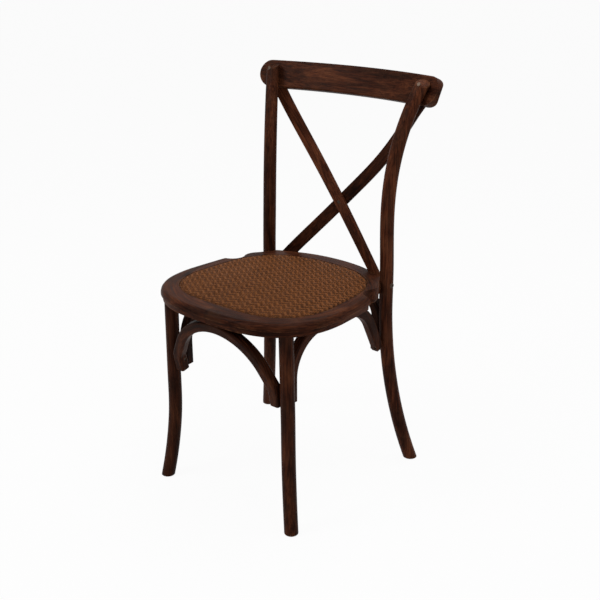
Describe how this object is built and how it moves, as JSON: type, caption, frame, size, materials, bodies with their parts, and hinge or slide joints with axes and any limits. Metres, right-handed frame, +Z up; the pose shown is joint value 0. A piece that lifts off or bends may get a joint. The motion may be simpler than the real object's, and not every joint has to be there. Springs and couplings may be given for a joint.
{
  "type": "cross back chair",
  "caption": "Bentwood cross back dining chair with round bent legs, crossed back slats, arched braces and a woven rattan seat.",
  "frame": {"origin": "on the floor, under the middle of the chair's box", "axes": "+Z up, the chair's front faces -Y, +X to the right of a viewer in front of it"},
  "size_m": [0.4724, 0.5243, 0.8844],
  "materials": {
    "stained_wood": "dark walnut stain with worn lighter edges",
    "panel_wood": "plain board",
    "woven_rattan": "woven rattan, satin lacquer",
    "screw_steel": "plain steel",
    "nylon": "moulded nylon"
  },
  "bodies": {
    "root": {"crest_rail": "stained_wood", "back_post_left": "stained_wood", "back_post_right": "stained_wood", "front_leg_left": "stained_wood", "front_leg_right": "stained_wood", "cross_slat_front": "stained_wood", "cross_slat_rear": "stained_wood", "seat_frame": "stained_wood", "brace_front": "stained_wood", "brace_rear": "stained_wood", "brace_left": "stained_wood", "brace_right": "stained_wood", "seat_panel": "panel_wood", "rattan_skin": "woven_rattan", "post_bolts": "screw_steel", "post_bolt_nuts": "screw_steel", "brace_leg_screws": "screw_steel", "brace_seat_screws": "screw_steel", "slat_cross_screw": "screw_steel", "slat_end_screws": "screw_steel", "rail_screws": "screw_steel", "seat_panel_screws": "screw_steel", "foot_glides": "nylon"}
  },
  "joints": []
}
